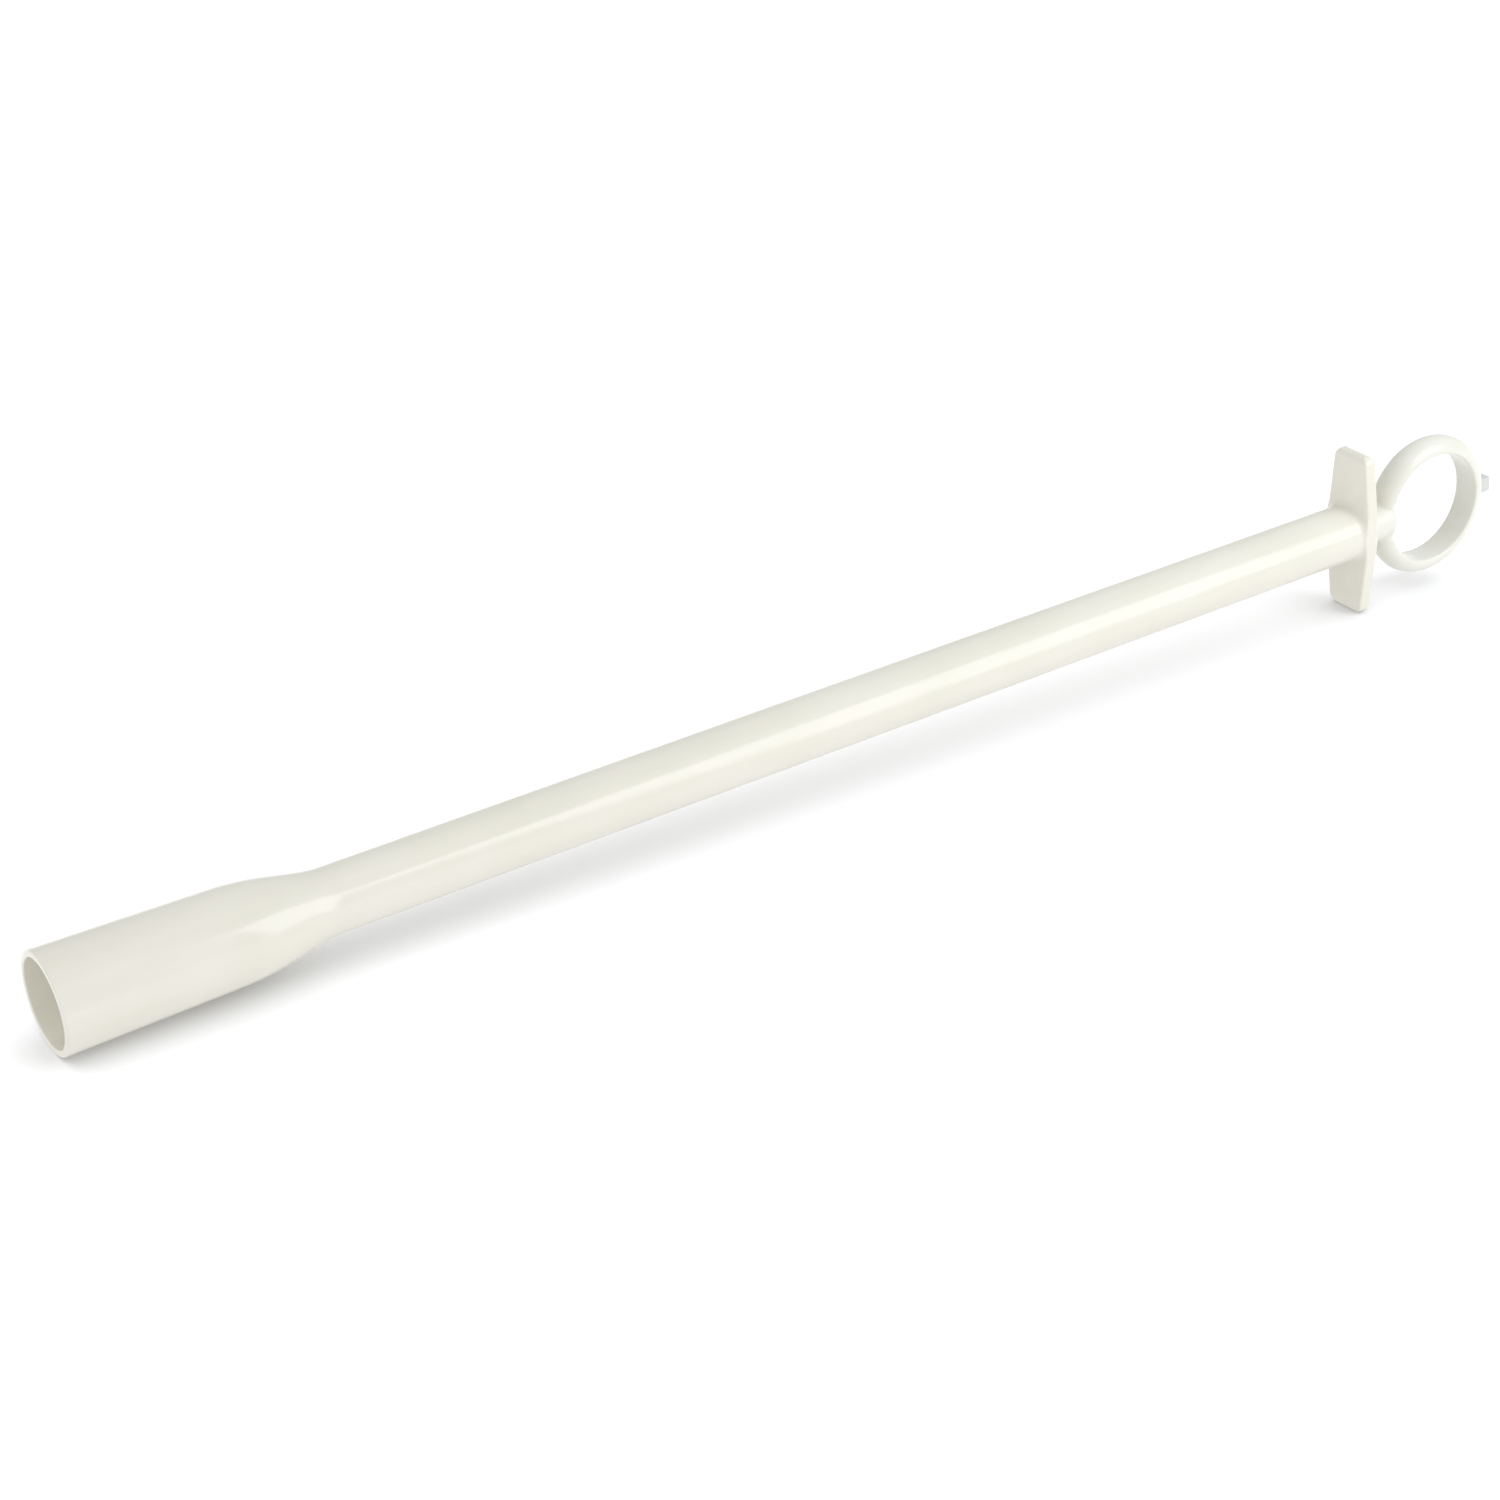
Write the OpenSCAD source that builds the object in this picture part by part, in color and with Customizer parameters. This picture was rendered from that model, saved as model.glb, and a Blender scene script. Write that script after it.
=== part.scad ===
// Push-rod applicator. An open holder cup sits on a slim tube with a finger flange,
// and a plunger with a ring for the finger pushes the load out of the cup.
// +X runs along the tube from the mouth of the cup to the ring, and +Z along the
// finger flange. The origin is the centre of the mouth. The plunger is drawn pushed home.

/* [Holder cup] */
// Outer diameter at the mouth
cup_d = 11.3; // [11:0.1:13]
// Outer diameter where the flare starts
cup_back_d = 10.6; // [10.4:0.1:11]
// Length from the mouth to the start of the flare
cup_len = 18.5; // [17:0.5:30]
// Bore diameter at the mouth
cup_bore_d = 9.7; // [9.5:0.1:10]
// Length of the straight stretch of bore at the mouth
mouth_land = 4; // [3:0.5:6]
// Bore diameter at the back of the cup, smaller by the draft of the core
cup_bore_back_d = 9.2; // [9.1:0.1:9.4]
// Length of the S-shaped flare from the cup down to the tube
flare_len = 13; // [10:0.5:16]

/* [Tube] */
// Outer diameter where the flare ends
tube_d = 7.25; // [7.1:0.05:8]
// Outer diameter at the finger flange
tube_back_d = 7; // [6.8:0.05:7.1]
// Bore diameter, a running fit on the plunger rod
tube_bore_d = 4.9; // [4.9:0.02:5]
// Distance from the mouth to the front face of the finger flange
barrel_len = 169.7; // [120:0.1:220]

/* [Finger flange] */
// Length of the strip, end to end
flange_len = 20.8; // [18:0.1:30]
// Width of the strip across the tube
flange_w = 7.5; // [7.2:0.1:9]
// Width of the strip at its ends
flange_end_w = 5.3; // [4:0.1:6]
// Thickness of the strip
flange_t = 1.7; // [1:0.1:2.5]
// Corner radius of the strip's ends
flange_corner_r = 0.9; // [0.3:0.1:1.2]
// Fillet between the strip and the tube
flange_fillet = 0.9; // [0.5:0.1:1.5]

/* [Plunger] */
// Rod diameter
rod_d = 4.7; // [4:0.1:4.7]
// Diameter of the ring's hole
ring_hole_d = 13.8; // [12:0.2:20]
// Width of the ring along its axis, twice the radius of its half-round outside
ring_w = 3.6; // [3:0.1:3.6]
// Radial thickness of the ring
ring_t = 1.95; // [1.9:0.05:2.5]
// Clear gap between the finger flange and the ring, pushed home
ring_gap = 2.2; // [1:0.1:4]
// Diameter of the boss where the rod runs into the ring
ring_boss_d = 4.8; // [4.8:0.1:5.4]
// Height of the square gate stub along the flange's direction
stub_h = 1.9; // [1.2:0.1:3]
// Width of the gate stub along the ring's axis
stub_w = 1.7; // [1:0.1:2]
// How far the gate stub stands out
stub_len = 1.4; // [0.5:0.1:2.5]

/* [Pusher head] */
// Diameter of the pushing disc
head_d = 8.9; // [8.4:0.1:8.9]
// Thickness of the pushing disc
head_t = 2.2; // [1.8:0.1:3]
// Gap between the mouth's straight bore and the disc, pushed home
head_set_back = 0.4; // [0.3:0.1:2]

/* [Hidden] */
$fn = 96;
rim_r = 0.3;            // rounding of the mouth's outer edge
arc_steps = 6;          // chords in a small corner arc
flare_steps = 20;       // chords in the flare
flare_lag = 1.35;       // over 1, the flare starts gently and ends more crisply
tube_start = cup_len + flare_len;
collar_len = 4;         // stretch of tube moulded with the finger flange
collar_start = barrel_len - collar_len;
barrel_end = barrel_len + flange_t;
shoulder_z = 1;         // half-height of the strip's full-width middle
ring_r = ring_hole_d / 2;
ring_x = barrel_end + ring_gap + ring_t + ring_r;
boss_start = barrel_end + 0.9;
boss_proud = 0.35;      // how far the boss stands into the ring's hole
head_start = mouth_land + head_set_back;
head_wall = 1.5;        // front wall of the disc over the rod's spigot
sleeve_len = 6;         // sleeve behind the disc that holds the spigot
sleeve_end = head_start + head_t + sleeve_len;
end_gap = 0.15;         // endways play of the rod in the head
spigot_r = 1.6;
spigot_play = 0.08;     // radial play of the spigot and its snap bead
bead_h = 0.2;           // height of the snap bead
bead_w = 1;             // width of the snap bead
bead_x = head_start + head_wall + 1.6;
edge_r = 0.5;           // rounding of the disc's edges

// Arc about a centre, as points from angle a0 to a1
function arc(centre, r, a0, a1) =
    [for (i = [0:arc_steps]) centre + r * [cos(a0 + (a1 - a0) * i / arc_steps),
                                           sin(a0 + (a1 - a0) * i / arc_steps)]];

// Smooth step from 0 to 1 with level ends
function ease(t) = t * t * (3 - 2 * t);

// Points of the flare between two radii, from the cup to the tube
function flare(r0, r1) =
    [for (i = [0:flare_steps]) let (t = i / flare_steps)
        [r0 + (r1 - r0) * ease(pow(t, flare_lag)), cup_len + flare_len * t]];

// A list of points in the opposite order
function reversed(points) = [for (i = [len(points) - 1:-1:0]) points[i]];

// Vector of length 1
function unit(v) = v / norm(v);

// Corner p between neighbours a and b, rounded to radius r
function round_corner(a, p, b, r) =
    let (u = unit(a - p), v = unit(b - p), half = acos(u * v) / 2,
         centre = p + unit(u + v) * r / sin(half), turn = 180 - 2 * half,
         from = p + u * r / tan(half) - centre, to = p + v * r / tan(half) - centre)
    [for (i = [0:arc_steps]) let (t = i / arc_steps)
        centre + (sin((1 - t) * turn) * from + sin(t * turn) * to) / sin(turn)];

// Turns a shape made along Z so that it runs along X
module along_x(x = 0) translate([x, 0, 0]) rotate([0, 90, 0]) children();

// Outline of the finger flange in its own plane, Z of the object along the second axis
module flange_outline() {
    tip_w = flange_end_w / 2;
    tip_z = flange_len / 2;
    mid_w = flange_w / 2;
    top = concat(round_corner([mid_w, shoulder_z], [tip_w, tip_z], [-tip_w, tip_z], flange_corner_r),
                 round_corner([tip_w, tip_z], [-tip_w, tip_z], [-mid_w, shoulder_z], flange_corner_r));
    side = [[-mid_w, shoulder_z], [-mid_w, -shoulder_z]];
    polygon(concat(top, side, [for (p = top) -p], [for (p = side) -p]));
}

// Prism of the flange outline, from x0 to x1
module flange_prism(x0, x1) {
    translate([x0, 0, 0]) rotate([90, 0, 90]) linear_extrude(x1 - x0) flange_outline();
}

// Half-round ring about the Y axis through its centre
module ring_band() {
    flank = ring_t - ring_w / 2;
    translate([ring_x, 0, 0]) rotate([90, 0, 0]) rotate_extrude() union() {
        translate([ring_r, -ring_w / 2]) square([flank, ring_w]);
        intersection() {
            translate([ring_r + flank, 0]) circle(d = ring_w);
            translate([ring_r + flank, -ring_w]) square([ring_w, 2 * ring_w]);
        }
    }
}

// Open cup: straight bore at the mouth, then a drafted bore
module holder_cup() color("ivory") along_x() rotate_extrude()
    polygon(concat(arc([cup_d / 2 - rim_r, rim_r], rim_r, -90, 0),
                   [[cup_back_d / 2, cup_len], [cup_bore_back_d / 2, cup_len],
                    [cup_bore_d / 2, mouth_land], [cup_bore_d / 2, 0]]));

// Flare between the cup and the tube, an S-shaped wall inside and outside
module cup_flare() color("ivory") along_x() rotate_extrude()
    polygon(concat(flare(cup_back_d / 2, tube_d / 2),
                   reversed(flare(cup_bore_back_d / 2, tube_bore_d / 2))));

// Slim tube with a little draft on the outside
module barrel_tube() color("ivory") along_x() rotate_extrude()
    polygon([[tube_bore_d / 2, tube_start], [tube_d / 2, tube_start],
             [tube_back_d / 2, collar_start], [tube_bore_d / 2, collar_start]]);

// Strip for two fingers, with the collar of tube that it grows out of
module finger_flange() color("ivory") difference() {
    union() {
        along_x(collar_start) cylinder(d = tube_back_d, h = barrel_end - collar_start);
        flange_prism(barrel_len, barrel_end);
        intersection() {
            flange_prism(barrel_len - flange_fillet, barrel_len);
            along_x() rotate_extrude() polygon(concat(
                [[tube_bore_d / 2, barrel_len]], [[tube_bore_d / 2, barrel_len - flange_fillet]],
                arc([tube_back_d / 2 + flange_fillet, barrel_len - flange_fillet],
                    flange_fillet, 180, 90)));
        }
    }
    along_x(collar_start - 1) cylinder(d = tube_bore_d, h = collar_len + flange_t + 2);
}

// Disc that pushes the load, with a sleeve that snaps over the rod's spigot
module pusher_head() color("white") along_x() rotate_extrude()
    polygon(concat([[0, head_start]],
                   arc([head_d / 2 - edge_r, head_start + edge_r], edge_r, -90, 0),
                   arc([head_d / 2 - edge_r, head_start + head_t - edge_r], edge_r, 0, 90),
                   [[rod_d / 2, head_start + head_t], [rod_d / 2, sleeve_end]],
                   reversed(spigot_side(spigot_play)),
                   [[0, head_start + head_wall]]));

// Side of the spigot and its bead, grown outwards by play, from the tip to the shoulder
function spigot_side(play) =
    let (r = spigot_r + play, bead_r = r + bead_h, half = bead_w / 2 + play)
    [[r, head_start + head_wall + (play > 0 ? 0 : end_gap)],
     [r, bead_x - half], [bead_r, bead_x - half + bead_h],
     [bead_r, bead_x + half - bead_h], [r, bead_x + half],
     [r, play > 0 ? sleeve_end : sleeve_end + end_gap]];

// Round rod from the spigot in the head to the boss of the ring
module plunger_rod() color("ivory") along_x() rotate_extrude()
    polygon(concat([[0, head_start + head_wall + end_gap]], spigot_side(0),
                   [[rod_d / 2, sleeve_end + end_gap], [rod_d / 2, boss_start], [0, boss_start]]));

// Ring for the finger and the boss where the rod runs into it
module thumb_ring() color("ivory") union() {
    ring_band();
    along_x(boss_start) cylinder(d = ring_boss_d, h = ring_x - ring_r + boss_proud - boss_start);
}

// Short square stub of the moulding gate on the far side of the ring
module gate_stub() color("lightblue") difference() {
    translate([ring_x + ring_r + ring_t / 2, -stub_w / 2, -stub_h / 2])
        cube([ring_t / 2 + stub_len, stub_w, stub_h]);
    ring_band();
}

holder_cup();
cup_flare();
barrel_tube();
finger_flange();
pusher_head();
plunger_rod();
thumb_ring();
gate_stub();
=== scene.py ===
# %% [markdown]
# # A push-rod applicator in ivory plastic
#
# The object is a slim tube with an open cup at one end and a flange for two fingers at the
# other. A plunger slides in the tube, with a ring for the finger outside and a small pushing
# disc inside the cup. The engineering model is loaded first as a fixed frame. It gives every
# size and place, and the pieces made here take its nodes' places, with the rounded edges,
# blends and finish that the moulded parts have.

# %% Load the frame
import math
import bmesh
import bpy
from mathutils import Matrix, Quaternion, Vector


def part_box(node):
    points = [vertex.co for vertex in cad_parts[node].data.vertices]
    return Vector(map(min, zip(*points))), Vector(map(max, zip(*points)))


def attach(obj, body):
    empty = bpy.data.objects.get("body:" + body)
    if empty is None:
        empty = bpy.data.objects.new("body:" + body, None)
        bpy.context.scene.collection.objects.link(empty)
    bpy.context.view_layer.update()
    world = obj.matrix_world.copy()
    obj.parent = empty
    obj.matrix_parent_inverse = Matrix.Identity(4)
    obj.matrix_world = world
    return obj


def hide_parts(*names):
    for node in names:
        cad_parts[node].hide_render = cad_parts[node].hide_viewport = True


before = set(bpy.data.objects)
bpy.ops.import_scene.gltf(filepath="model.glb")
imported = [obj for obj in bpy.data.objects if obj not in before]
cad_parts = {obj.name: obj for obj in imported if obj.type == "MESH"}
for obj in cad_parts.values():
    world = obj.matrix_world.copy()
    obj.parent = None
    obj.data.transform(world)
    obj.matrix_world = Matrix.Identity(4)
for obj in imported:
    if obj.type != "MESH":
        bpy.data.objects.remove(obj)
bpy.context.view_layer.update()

# %% [markdown]
# ## Places taken from the frame
#
# A node's box says where it starts and ends and how far out it reaches. The pieces are made
# from these boxes, so a change of size in the engineering model carries over. X runs along
# the tube from the mouth of the cup, and Z runs along the flange.

# %% Measure the nodes
MM = 0.001
cup_low, cup_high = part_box("holder_cup")
flare_low, flare_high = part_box("cup_flare")
tube_low, tube_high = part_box("barrel_tube")
flange_low, flange_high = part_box("finger_flange")
head_low, head_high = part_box("pusher_head")
rod_low, rod_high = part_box("plunger_rod")
ring_low, ring_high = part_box("thumb_ring")
stub_low, stub_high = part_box("gate_stub")
print("tube radius, mm:", round(1000 * tube_high.z, 3))

# %% [markdown]
# ## Helpers for modelling
#
# An operator works on everything that is selected, and the loaded nodes are still selected,
# so each piece begins with nothing selected. Later, vertices, edges and faces are picked by
# where they are, which does the same as clicking on them.

# %% Begin, enter and leave a piece
def nothing_selected():
    """Leaves edit mode and clears the selection."""
    if bpy.context.object and bpy.context.object.mode == "EDIT":
        bpy.ops.object.mode_set(mode="OBJECT")
    bpy.ops.object.select_all(action="DESELECT")


def make_active(piece):
    """Makes this piece the only selected one, and the active one."""
    nothing_selected()
    piece.select_set(True)
    bpy.context.view_layer.objects.active = piece


def added(name):
    """Names the primitive that was just added and moves its place into its mesh."""
    piece = bpy.context.object
    piece.name = name
    piece.data.name = name
    bpy.ops.object.transform_apply(location=True, rotation=True, scale=True)
    return piece


# %% Pick by place
def pick(piece, kind, test):
    """In edit mode, selects the vertices, edges or faces whose middle passes the test."""
    bpy.ops.mesh.select_mode(type=kind)
    bpy.ops.mesh.select_all(action="DESELECT")
    mesh = bmesh.from_edit_mesh(piece.data)
    parts = {"VERT": mesh.verts, "EDGE": mesh.edges, "FACE": mesh.faces}[kind]
    for part in parts:
        corners = [part] if kind == "VERT" else part.verts
        middle = sum((v.co for v in corners), Vector()) / len(corners)
        part.select = bool(test(middle, part))
    mesh.select_flush(True)
    bmesh.update_edit_mesh(piece.data)


# %% Finish a mesh
SMOOTH_ANGLE = math.radians(32)


def closed_and_smooth(piece):
    """Merges doubled points, turns the faces outwards and smooths all but sharp edges."""
    make_active(piece)
    bpy.ops.object.mode_set(mode="EDIT")
    bpy.ops.mesh.select_all(action="SELECT")
    bpy.ops.mesh.remove_doubles(threshold=0.002 * MM)
    bpy.ops.mesh.normals_make_consistent(inside=False)
    bpy.ops.object.mode_set(mode="OBJECT")
    bpy.ops.object.shade_smooth_by_angle(angle=SMOOTH_ANGLE)
    print(piece.name, len(piece.data.polygons), "faces")


def with_modifier(piece, kind, **settings):
    """Adds a modifier with these settings and applies it."""
    make_active(piece)
    modifier = piece.modifiers.new(kind.lower(), kind)
    for setting, value in settings.items():
        setattr(modifier, setting, value)
    bpy.ops.object.modifier_apply(modifier=modifier.name)


# %% [markdown]
# ## Turned shapes
#
# Most of this object is round about one axis, as if it came off a lathe. Such a shape can be
# spun from an outline, or grown ring by ring from one circle. Growing it gives the cleanest
# mesh: a circle is added, its edge is extruded along X, and the new ring is scaled to the
# next radius. An outline that starts or ends at radius 0 closes in a pole, and any other
# outline comes back to its own start, as the wall of a tube does.

# %% Turn an outline about the X axis
SIDES = 128


def turned(name, outline):
    """A closed solid about the X axis, from an outline of (x, radius) points in metres."""
    nothing_selected()
    pole_first = outline[0][1] == 0
    rings = outline[1:] if pole_first else outline + outline[:1]
    x, radius = rings[0]
    fill = "TRIFAN" if pole_first else "NOTHING"
    bpy.ops.mesh.primitive_circle_add(
        vertices=SIDES, radius=radius, fill_type=fill, location=(x, 0, 0),
        rotation=(0, math.pi / 2, 0))
    piece = added(name)
    bpy.ops.object.mode_set(mode="EDIT")
    bpy.ops.mesh.select_all(action="SELECT")
    if pole_first:
        bpy.ops.mesh.region_to_loop()
    for next_x, next_radius in rings[1:]:
        bpy.ops.mesh.extrude_edges_move(TRANSFORM_OT_translate={"value": (next_x - x, 0, 0)})
        if next_radius == 0:
            bpy.ops.mesh.merge(type="COLLAPSE")
            break
        scale = next_radius / radius
        bpy.ops.transform.resize(value=(1, scale, scale), center_override=(next_x, 0, 0))
        x, radius = next_x, next_radius
    closed_and_smooth(piece)
    return piece


# %% Curves for outlines
def arc(x, radius, size, start, end, steps=6):
    """Points of an arc about (x, radius), between two angles in degrees from +X."""
    turn = [math.radians(start + (end - start) * i / steps) for i in range(steps + 1)]
    return [(x + size * math.cos(a), radius + size * math.sin(a)) for a in turn]


FLARE_LAG = 1.35


def s_curve(start, start_slope, end, end_slope, steps=32):
    """Points of a smooth curve between two outline points, with the slope given at each. The
    lag makes it leave its start gently and come into its end more crisply."""
    (x0, r0), (x1, r1) = start, end
    span = x1 - x0
    points = []
    for i in range(steps + 1):
        t = i / steps
        late = t ** FLARE_LAG
        rise = r0 + (r1 - r0) * late * late * (3 - 2 * late)
        rise += span * (start_slope * t * (1 - t) ** 2 - end_slope * t * t * (1 - t))
        points.append((x0 + span * t, rise))
    return points


# %% [markdown]
# ## The cup and its flare
#
# The cup is the open end of the barrel, with a wall under a millimetre thick. The mould gives
# it a little draft, so it narrows away from the mouth, and an S-shaped flare brings it down to
# the tube. The real edge is not sharp: the mouth has a small radius outside and a smaller one
# inside, and they catch the light as a thin bright line. The whole wall is one outline, out
# along the outside and back along the bore.

# %% Make the cup and flare
BORE_R = 2.45 * MM
MOUTH_BORE_R = 4.85 * MM
CUP_BACK_BORE_R = 4.6 * MM
MOUTH_LAND = 4 * MM
RIM_OUTSIDE_R = 0.3 * MM
RIM_INSIDE_R = 0.16 * MM

cup_r, cup_back_r, tube_r = cup_high.z, flare_high.z, tube_high.z
cup_end, flare_end = flare_low.x, flare_high.x
tube_back_r = 3.5 * MM
cup_draft = (cup_back_r - cup_r) / (cup_end - cup_low.x)
bore_draft = (CUP_BACK_BORE_R - MOUTH_BORE_R) / (cup_end - MOUTH_LAND)
tube_draft = (tube_back_r - tube_r) / (tube_high.x - tube_low.x)

outside = s_curve((cup_end, cup_back_r), cup_draft, (flare_end, tube_r), tube_draft)
inside = s_curve((cup_end, CUP_BACK_BORE_R), bore_draft, (flare_end, BORE_R), 0)
rim_outer = arc(RIM_OUTSIDE_R, cup_r - RIM_OUTSIDE_R, RIM_OUTSIDE_R, 90, 180)
rim_inner = arc(RIM_INSIDE_R, MOUTH_BORE_R + RIM_INSIDE_R, RIM_INSIDE_R, 180, 270)
cup_outline = outside[::-1] + rim_outer + rim_inner + [(MOUTH_LAND, MOUTH_BORE_R)] + inside
cup_and_flare = turned("cup_and_flare", cup_outline)

# %% [markdown]
# ## The slim tube
#
# The tube is a plain wall with a little draft outside and a straight bore that the rod runs
# in. It is made on its own, from the end of the flare to the collar of the flange, with the
# same number of sides, so the two moulded stretches meet without a seam.

# %% Make the slim tube
tube_outline = [(tube_low.x, tube_r), (tube_high.x, tube_back_r),
                (tube_high.x, BORE_R), (tube_low.x, BORE_R)]
slim_tube = turned("slim_tube", tube_outline)

# %% [markdown]
# ## The two-finger flange
#
# Two fingers pull against a flat strip across the tube. The strip is widest where the tube
# meets it and narrows to its ends. It starts as a cube at the strip's size. Two cuts across it
# mark the wide middle, the ends are scaled in, the four corners are bevelled round, and then
# all the outer edges get the small radius of the mould.

# %% Make the blank of the strip
STRIP_T = 1.7 * MM
STRIP_END_SHARE = 5.3 / 7.5
SHOULDER_Z = 1 * MM
CORNER_R = 1 * MM


def strip_blank(name, x_from, x_to):
    """The strip's outline with round corners, as a block between two places along X."""
    nothing_selected()
    size = (x_to - x_from, 2 * flange_high.y, 2 * flange_high.z)
    bpy.ops.mesh.primitive_cube_add(size=1, location=((x_from + x_to) / 2, 0, 0), scale=size)
    block = added(name)
    bpy.ops.object.mode_set(mode="EDIT")
    for z in (-SHOULDER_Z, SHOULDER_Z):
        bpy.ops.mesh.select_all(action="SELECT")
        bpy.ops.mesh.bisect(plane_co=(0, 0, z), plane_no=(0, 0, 1))
    end_z = 0.99 * flange_high.z
    pick(block, "VERT", lambda place, vertex: abs(place.z) > end_z)
    bpy.ops.transform.resize(value=(1, STRIP_END_SHARE, 1), center_override=(0, 0, 0))
    along_x = size[0] * 0.9
    pick(block, "EDGE", lambda place, edge: abs(place.z) > end_z
         and abs(edge.verts[0].co.x - edge.verts[1].co.x) > along_x)
    bpy.ops.mesh.bevel(offset=CORNER_R, segments=8, affect="EDGES")
    bpy.ops.object.mode_set(mode="OBJECT")
    return block


EDGE_R = 0.24 * MM
strip_front = flange_high.x - STRIP_T
two_finger_flange = strip_blank("two_finger_flange", strip_front, flange_high.x)
bpy.ops.object.mode_set(mode="EDIT")
bpy.ops.mesh.select_mode(type="EDGE")
bpy.ops.mesh.select_all(action="DESELECT")
bpy.ops.mesh.edges_select_sharp(sharpness=math.radians(60))
bpy.ops.mesh.bevel(offset=EDGE_R, segments=4, affect="EDGES")
bpy.ops.object.mode_set(mode="OBJECT")
print("strip", len(two_finger_flange.data.polygons), "faces")

# %% [markdown]
# The strip and the last stretch of tube are one moulding, with a fillet where they meet. The
# collar is turned with the fillet on it, and cut to the strip's outline, because the tube is
# almost as wide as the strip. A voxel remesh then makes one skin of the union, and a light
# smoothing rounds every corner as a mould does. The bore is cut last, so that it stays true.

# %% Helpers for joining shapes
def combined(piece, other, operation):
    """Joins, cuts or intersects with another object, which is then removed."""
    with_modifier(piece, "BOOLEAN", object=other, operation=operation, solver="EXACT")
    bpy.data.objects.remove(other)


WORK_SCALE = 1000


def one_skin(piece, voxel, rounds):
    """Remeshes a solid into one even skin and smooths it. It is scaled up to millimetres for
    the remesh, because that has a smallest voxel, and back down afterwards."""
    make_active(piece)
    piece.scale = (WORK_SCALE,) * 3
    bpy.ops.object.transform_apply(location=False, rotation=False, scale=True)
    with_modifier(piece, "REMESH", mode="VOXEL", voxel_size=voxel / MM, adaptivity=0)
    with_modifier(piece, "SMOOTH", factor=0.5, iterations=rounds)
    piece.scale = (1 / WORK_SCALE,) * 3
    bpy.ops.object.transform_apply(location=False, rotation=False, scale=True)


CUT_NEAR = 0.0001 * MM


def cut_flat(piece, x, keep_right):
    """Cuts the piece square at x and caps it, keeping one side. The usual threshold is 0.1 mm,
    which would count a whole row of this fine skin as lying on the cut already."""
    make_active(piece)
    bpy.ops.object.mode_set(mode="EDIT")
    bpy.ops.mesh.select_all(action="SELECT")
    bpy.ops.mesh.bisect(plane_co=(x, 0, 0), plane_no=(1, 0, 0), use_fill=True,
                        clear_inner=keep_right, clear_outer=not keep_right,
                        threshold=CUT_NEAR)
    bpy.ops.object.mode_set(mode="OBJECT")


# %% Join the strip and the collar
FILLET_R = 0.9 * MM
OVERLAP = 2 * MM
VOXEL = 0.1 * MM

collar_start = flange_low.x - OVERLAP
inside_strip = strip_front + STRIP_T / 2
fillet = arc(strip_front - FILLET_R, tube_back_r + FILLET_R, FILLET_R, 270, 360)
collar_outline = ([(collar_start, 0), (collar_start, tube_back_r)] + fillet
                  + [(inside_strip, tube_back_r + FILLET_R), (inside_strip, 0)])
collar = turned("collar", collar_outline)
trim = strip_blank("trim", collar_start - OVERLAP, flange_high.x + OVERLAP)
combined(collar, trim, "INTERSECT")
combined(two_finger_flange, collar, "UNION")
one_skin(two_finger_flange, VOXEL, 4)
cut_flat(two_finger_flange, flange_low.x, keep_right=True)

# %% Cut the bore through the flange
BORE_CHAMFER = 0.2 * MM
bore_outline = [(flange_low.x - OVERLAP, 0), (flange_low.x - OVERLAP, BORE_R),
                (flange_high.x - BORE_CHAMFER, BORE_R),
                (flange_high.x + BORE_CHAMFER, BORE_R + 2 * BORE_CHAMFER),
                (flange_high.x + OVERLAP, BORE_R + 2 * BORE_CHAMFER),
                (flange_high.x + OVERLAP, 0)]
combined(two_finger_flange, turned("bore", bore_outline), "DIFFERENCE")
closed_and_smooth(two_finger_flange)

# %% [markdown]
# ## The pushing disc
#
# The disc in the cup is a separate small moulding that snaps over the end of the rod. Its
# edges are round, and its sleeve has the same diameter as the rod.

# %% Make the pushing disc
DISC_T = 2.2 * MM
DISC_EDGE_R = 0.5 * MM
ROD_R = 2.35 * MM
SLEEVE_EDGE_R = 0.12 * MM
FRONT_WALL = 1.5 * MM
SPIGOT_R = 1.6 * MM
PLAY = 0.08 * MM
BEAD_H = 0.2 * MM
BEAD_W = 1 * MM
BEAD_X = 1.6 * MM

disc_r = head_high.z
disc_back = head_low.x + DISC_T
spigot_end = head_low.x + FRONT_WALL


def spigot_side(play, tip, shoulder):
    """Side of the spigot and its snap bead, grown outwards by the play."""
    radius = SPIGOT_R + play
    bead_r = radius + BEAD_H
    middle, half = spigot_end + BEAD_X, BEAD_W / 2 + play
    return [(tip, radius), (middle - half, radius), (middle - half + BEAD_H, bead_r),
            (middle + half - BEAD_H, bead_r), (middle + half, radius), (shoulder, radius)]


disc_outline = [(head_low.x, 0)]
disc_outline += arc(head_low.x + DISC_EDGE_R, disc_r - DISC_EDGE_R, DISC_EDGE_R, 180, 90)
disc_outline += arc(disc_back - DISC_EDGE_R, disc_r - DISC_EDGE_R, DISC_EDGE_R, 90, 0)
disc_outline += [(disc_back, ROD_R)]
disc_outline += arc(head_high.x - SLEEVE_EDGE_R, ROD_R - SLEEVE_EDGE_R, SLEEVE_EDGE_R, 90, 0)
disc_outline += spigot_side(PLAY, spigot_end, head_high.x)[::-1] + [(spigot_end, 0)]
pusher_disc = turned("pusher_disc", disc_outline)

# %% [markdown]
# ## The plunger rod
#
# The rod runs the length of the tube with a tenth of a millimetre to spare all round. Its
# front end is the spigot that the disc snaps over.

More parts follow.
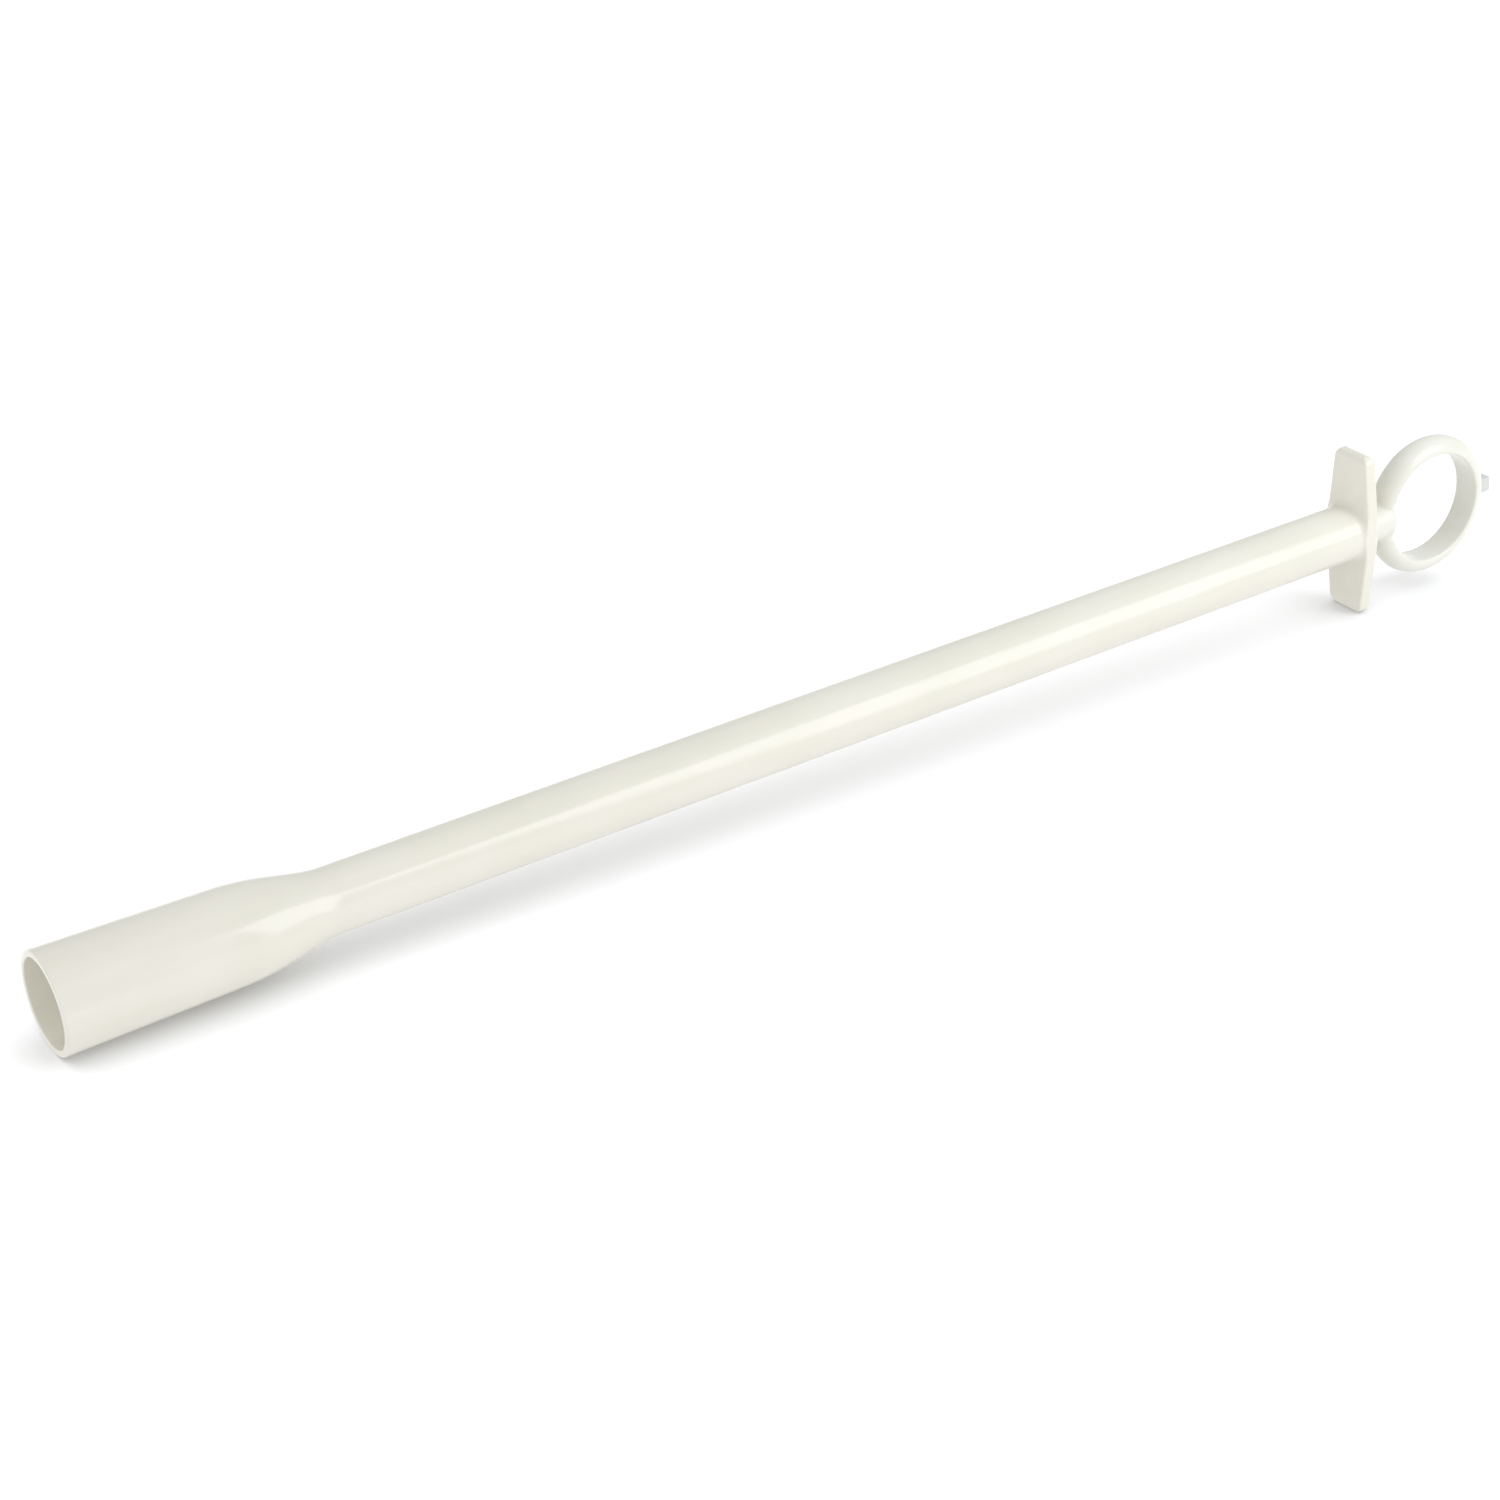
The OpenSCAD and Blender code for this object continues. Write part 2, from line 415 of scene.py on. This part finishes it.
# %% Make the rod
END_GAP = 0.15 * MM
rod_front = head_high.x + END_GAP
rod_outline = [(rod_low.x, 0)] + spigot_side(0, rod_low.x, rod_front)
rod_outline += arc(rod_front + SLEEVE_EDGE_R, ROD_R - SLEEVE_EDGE_R, SLEEVE_EDGE_R, 180, 90)
rod_outline += [(rod_high.x, ROD_R), (rod_high.x, 0)]
ring_plunger_rod = turned("ring_plunger_rod", rod_outline)

# %% [markdown]
# ## The finger ring
#
# The ring is a band with a half-round outside and a flat inside, the shape that leaves a mould
# split along the middle of the ring. A full circle is cut to leave a little over half, its two
# corners are bevelled, and the outline is spun round the ring's axis. The boss of the rod
# runs through the band and stands a little into the hole. The two become one skin, with the
# junction smoothed into a soft blend.

# %% Spin the band
BAND_T = 1.95 * MM
BAND_HALF_W = 1.8 * MM
BAND_CORNER_R = 0.38 * MM
BAND_STEPS = 144
ring_outer_r = ring_high.z
ring_hole_r = ring_outer_r - BAND_T
ring_x = ring_high.x - ring_outer_r
band_x = ring_x + ring_hole_r

nothing_selected()
bpy.ops.mesh.primitive_circle_add(
    vertices=64, radius=BAND_HALF_W, fill_type="NGON",
    location=(band_x + BAND_T - BAND_HALF_W, 0, 0))
finger_ring = added("finger_ring")
bpy.ops.object.mode_set(mode="EDIT")
bpy.ops.mesh.select_all(action="SELECT")
bpy.ops.mesh.bisect(plane_co=(band_x, 0, 0), plane_no=(1, 0, 0), clear_inner=True)
pick(finger_ring, "VERT", lambda place, vertex: place.x < band_x + 0.01 * MM)
bpy.ops.mesh.bevel(offset=BAND_CORNER_R, segments=6, affect="VERTICES")
bpy.ops.mesh.select_all(action="SELECT")
bpy.ops.mesh.delete(type="ONLY_FACE")
bpy.ops.mesh.select_all(action="SELECT")
bpy.ops.mesh.spin(steps=BAND_STEPS, angle=2 * math.pi, center=(ring_x, 0, 0), axis=(0, 1, 0))
closed_and_smooth(finger_ring)

# %% Add the boss and blend it in
BOSS_R = 2.4 * MM
BOSS_PROUD = 0.35 * MM
BOSS_EDGE_R = 0.3 * MM
BLEND_REACH = 3.8 * MM

boss_end = ring_x - ring_hole_r + BOSS_PROUD
boss_outline = [(ring_low.x - OVERLAP, 0), (ring_low.x - OVERLAP, BOSS_R)]
boss_outline += arc(boss_end - BOSS_EDGE_R, BOSS_R - BOSS_EDGE_R, BOSS_EDGE_R, 90, 0)
boss_outline += [(boss_end, 0)]
combined(finger_ring, turned("boss", boss_outline), "UNION")
one_skin(finger_ring, VOXEL, 4)
bpy.ops.object.mode_set(mode="EDIT")
junction = Vector((ring_x - ring_outer_r, 0, 0))
pick(finger_ring, "VERT", lambda place, vertex: (place - junction).length < BLEND_REACH)
bpy.ops.mesh.vertices_smooth(factor=0.5, repeat=24)
bpy.ops.object.mode_set(mode="OBJECT")
cut_flat(finger_ring, ring_low.x, keep_right=True)
closed_and_smooth(finger_ring)

# %% [markdown]
# ## The gate mark
#
# Plastic entered the mould through a small square gate on the far side of the ring. The
# runner was twisted off and left a short stub, with a raised, rough middle where it tore. A
# cube gives the stub, its end is inset and pushed out for the torn middle, and the edges are
# bevelled. Its root is buried in the ring, so the band's curve shows round it.

# %% Make the gate stub
STUB_ROOT = 0.7 * MM
STUB_EDGE_R = 0.14 * MM
NIB_INSET = 0.4 * MM
NIB_H = 0.1 * MM

stub_start = ring_high.x - STUB_ROOT
stub_face = stub_high.x - NIB_H
stub_size = (stub_face - stub_start, stub_high.y - stub_low.y, stub_high.z - stub_low.z)
stub_middle = ((stub_start + stub_face) / 2, 0, (stub_low.z + stub_high.z) / 2)
nothing_selected()
bpy.ops.mesh.primitive_cube_add(size=1, location=stub_middle, scale=stub_size)
gate_mark = added("gate_mark")
bpy.ops.object.mode_set(mode="EDIT")
bpy.ops.mesh.select_all(action="SELECT")
bpy.ops.mesh.bevel(offset=STUB_EDGE_R, segments=5, affect="EDGES")
pick(gate_mark, "FACE", lambda place, face: face.normal.x > 0.99)
bpy.ops.mesh.inset(thickness=NIB_INSET)
bpy.ops.mesh.extrude_region_move(TRANSFORM_OT_translate={"value": (NIB_H, 0, 0)})
bpy.ops.transform.resize(value=(1, 0.6, 0.6), center_override=(stub_high.x, 0, stub_middle[2]))
bpy.ops.object.mode_set(mode="OBJECT")
closed_and_smooth(gate_mark)

# %% [markdown]
# ## Finishes
#
# All the plastic is glossy and slightly warm. Up close it is never one even colour: the
# pigment is streaked a little along the flow, the gloss changes over a few millimetres, and
# the polished mould leaves a very faint ripple and a few fine drawing marks. One function
# makes this finish from nodes, and each moulding gets its own colour and gloss. The patterns
# read object coordinates, in metres, so a scale of 100 repeats about every 10 millimetres.

# %% Node helpers
def node(tree, kind, **settings):
    """Adds a node and sets its inputs by name, or its own properties."""
    new = tree.nodes.new(kind)
    for key, value in settings.items():
        if key in new.inputs:
            new.inputs[key].default_value = value
        else:
            setattr(new, key, value)
    return new


def noise(tree, place, stretch, scale, detail):
    """Noise read from object coordinates, squeezed by stretch along each axis."""
    mapping = node(tree, "ShaderNodeMapping", Scale=stretch)
    texture = node(tree, "ShaderNodeTexNoise", Scale=scale, Detail=detail)
    tree.links.new(place.outputs["Object"], mapping.inputs["Vector"])
    tree.links.new(mapping.outputs["Vector"], texture.inputs["Vector"])
    return texture.outputs[0]


def ranged(tree, value, low, high, out_low, out_high):
    """Carries a value from one range to another, held inside it."""
    remap = node(tree, "ShaderNodeMapRange")
    tree.links.new(value, remap.inputs["Value"])
    for key, number in zip(("From Min", "From Max", "To Min", "To Max"),
                           (low, high, out_low, out_high)):
        remap.inputs[key].default_value = number
    return remap.outputs["Result"]


# %% Moulded plastic
def moulded_plastic(name, colour, roughness, flow=(0.12, 1, 1), ripple=0.05):
    """Glossy moulded plastic with streaked pigment, uneven gloss and a faint ripple."""
    material = bpy.data.materials.new(name)
    material.use_nodes = True
    tree = material.node_tree
    shader = tree.nodes["Principled BSDF"]
    place = node(tree, "ShaderNodeTexCoord")

    streaks = noise(tree, place, flow, 420, 3)
    cloud = noise(tree, place, (1, 1, 1), 90, 2)
    mixed = node(tree, "ShaderNodeMath", operation="ADD")
    tree.links.new(streaks, mixed.inputs[0])
    tree.links.new(cloud, mixed.inputs[1])
    share = ranged(tree, mixed.outputs[0], 0.7, 1.3, 0, 1)
    tint = node(tree, "ShaderNodeMix", data_type="RGBA")
    tint.inputs["A"].default_value = (*[0.965 * c for c in colour[:2]], 0.94 * colour[2], 1)
    tint.inputs["B"].default_value = (*[min(1, 1.02 * c) for c in colour], 1)
    tree.links.new(share, tint.inputs["Factor"])
    tree.links.new(tint.outputs["Result"], shader.inputs["Base Color"])

    gloss = noise(tree, place, (0.4, 1, 1), 260, 4)
    tree.links.new(ranged(tree, gloss, 0.35, 0.65, roughness - 0.03, roughness + 0.05),
                   shader.inputs["Roughness"])

    waves = noise(tree, place, (0.35, 1, 1), 330, 1)
    marks = noise(tree, place, (0.02, 1, 1), 5200, 2)
    soft = node(tree, "ShaderNodeBump", Strength=ripple, Distance=0.4 * MM)
    fine = node(tree, "ShaderNodeBump", Strength=ripple * 0.6, Distance=0.02 * MM)
    tree.links.new(waves, soft.inputs["Height"])
    tree.links.new(marks, fine.inputs["Height"])
    tree.links.new(soft.outputs["Normal"], fine.inputs["Normal"])
    tree.links.new(fine.outputs["Normal"], shader.inputs["Normal"])
    shader.inputs["IOR"].default_value = 1.49
    return material


# %% Give each piece its finish
BARREL_IVORY = (0.80, 0.782, 0.707)
PLUNGER_IVORY = (0.79, 0.785, 0.725)
HEAD_WHITE = (0.86, 0.85, 0.80)
GATE_PALE = (0.64, 0.66, 0.635)

barrel_finish = moulded_plastic("barrel_ivory", BARREL_IVORY, 0.15)
plunger_finish = moulded_plastic("plunger_ivory", PLUNGER_IVORY, 0.22)
head_finish = moulded_plastic("head_white", HEAD_WHITE, 0.3, flow=(1, 1, 1))
gate_finish = moulded_plastic("gate_pale", GATE_PALE, 0.42, flow=(1, 1, 1), ripple=0.3)

# %% [markdown]
# ## Pieces on their bodies
#
# Each piece rides on the body that it moves with, stands for its nodes of the engineering
# model, and gets the finish that it is painted with.

# %% Ride, replace and paint
assembly = [
    (cup_and_flare, "barrel", ("holder_cup", "cup_flare"), "barrel_ivory", barrel_finish),
    (slim_tube, "barrel", ("barrel_tube",), "barrel_ivory", barrel_finish),
    (two_finger_flange, "barrel", ("finger_flange",), "barrel_ivory", barrel_finish),
    (pusher_disc, "pusher", ("pusher_head",), "head_white", head_finish),
    (ring_plunger_rod, "plunger", ("plunger_rod",), "plunger_ivory", plunger_finish),
    (finger_ring, "plunger", ("thumb_ring",), "plunger_ivory", plunger_finish),
    (gate_mark, "plunger", ("gate_stub",), "gate_pale", gate_finish),
]
for piece, body, nodes, slot, finish in assembly:
    piece.data.materials.clear()
    piece.data.materials.append(finish)
    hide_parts(*nodes)
    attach(piece, body)
    print(piece.name, "rides on", body)

# %% [markdown]
# ## The floor
#
# The object lies on its cup and on the foot of its flange, so the surface under it slopes a
# little against the tube. The floor is a wide plane of plain paper through those two places.

# %% Lay the floor
FLOOR_SIZE = 8
PAPER_GREY = (0.55, 0.55, 0.555, 1)
rest_a = Vector((cup_low.x, 0, -cup_r))
rest_b = Vector((strip_front, 0, flange_low.z))
slope = math.atan2(rest_a.z - rest_b.z, rest_b.x - rest_a.x)
nothing_selected()
bpy.ops.mesh.primitive_plane_add(
    size=FLOOR_SIZE, location=(rest_a + rest_b) / 2, rotation=(0, slope, 0))
floor = bpy.context.object
floor.name = "floor"
paper = bpy.data.materials.new("white_paper")
paper.use_nodes = True
paper_shader = paper.node_tree.nodes["Principled BSDF"]
paper_shader.inputs["Base Color"].default_value = PAPER_GREY
paper_shader.inputs["Roughness"].default_value = 1
paper_shader.inputs["Specular IOR Level"].default_value = 0
floor.data.materials.append(paper)
print("floor slope, degrees:", round(math.degrees(slope), 2))

# %% [markdown]
# ## Camera
#
# A long lens looks down at the tube from the side of the cup, turned so that the far end
# comes up to the right.

# %% Place the camera
AZIMUTH = math.radians(-31.52)
ELEVATION = math.radians(28.88)
ROLL = math.radians(3.46)
LENS = 78.74
DISTANCE = 359.4 * MM
aim = Vector((82.8 * MM, 0, -0.25 * MM))

back = Vector((math.sin(AZIMUTH) * math.cos(ELEVATION),
               -math.cos(AZIMUTH) * math.cos(ELEVATION), math.sin(ELEVATION)))
bpy.ops.object.camera_add(location=aim + DISTANCE * back)
camera = bpy.context.object
camera.name = "product_camera"
camera.rotation_mode = "QUATERNION"
camera.rotation_quaternion = (-back).to_track_quat("-Z", "Y") @ Quaternion((0, 0, 1), -ROLL)
camera.data.lens = LENS
camera.data.sensor_width = 36
camera.data.clip_start = 10 * MM
camera.data.clip_end = 20
bpy.context.scene.camera = camera

# %% [markdown]
# ## Light
#
# The set is bright and soft. Pale surroundings light the plastic evenly from every side. A
# softbox to the right of the camera, at about its height, is what the glossy plastic mirrors:
# a bright line along the tube, and a small bright window on the flare. Three weak panels that
# nothing mirrors shape the rest: a cool one over the ring end, one beyond the cup that lights
# the front of the flange and the inside of the cup, and one below that lifts the underside, as
# on a glass table. The floor has a wide panel of its own overhead, so that it comes out clean
# and pale, with a soft shadow where the object touches it.

# %% Hang the lights
def soft_panel(name, location, towards, width, height, watts, roll=0):
    """A rectangular area light at a place, facing a point and rolled about its own axis."""
    bpy.ops.object.light_add(type="AREA", location=location)
    lamp = bpy.context.object
    lamp.name = name
    lamp.rotation_mode = "QUATERNION"
    aimed = (Vector(towards) - Vector(location)).to_track_quat("-Z", "Y")
    lamp.rotation_quaternion = aimed @ Quaternion((0, 0, 1), math.radians(roll))
    lamp.data.shape = "RECTANGLE"
    lamp.data.size = width
    lamp.data.size_y = height
    lamp.data.energy = watts
    return lamp


soft_panel("side_softbox", (0.534, -0.539, 0.263), (0.534, 0, 0), 0.44, 0.51, 2.1, roll=24)
right = soft_panel("right_panel", (0.33, -0.12, 0.22), (0.15, 0, 0), 0.2, 0.2, 0.16)
right.data.color = (0.84, 0.95, 1)
fill = soft_panel("fill_panel", (-0.7, -0.1, 0.16), (0.17, 0, 0), 0.4, 0.4, 1.4)
under = soft_panel("under_panel", (0.17, -0.25, -0.43), (0.15, 0, 0), 0.5, 0.5, 0.5)
for lamp in (right, fill, under):
    lamp.visible_glossy = False

floor_only = bpy.data.collections.new("floor_only")
floor_only.objects.link(floor)
wash = soft_panel("floor_wash", (0.1, 0, 1), (0.1, 0, 0), 3, 3, 54)
wash.light_linking.receiver_collection = floor_only
floor.visible_diffuse = False
floor.visible_shadow = False

SURROUND_STRENGTH = 0.73
world = bpy.data.worlds.new("studio")
bpy.context.scene.world = world
world.use_nodes = True
surround = world.node_tree.nodes["Background"]
surround.inputs["Color"].default_value = (1, 1, 1, 1)
surround.inputs["Strength"].default_value = SURROUND_STRENGTH
bpy.context.scene.view_settings.view_transform = "Standard"
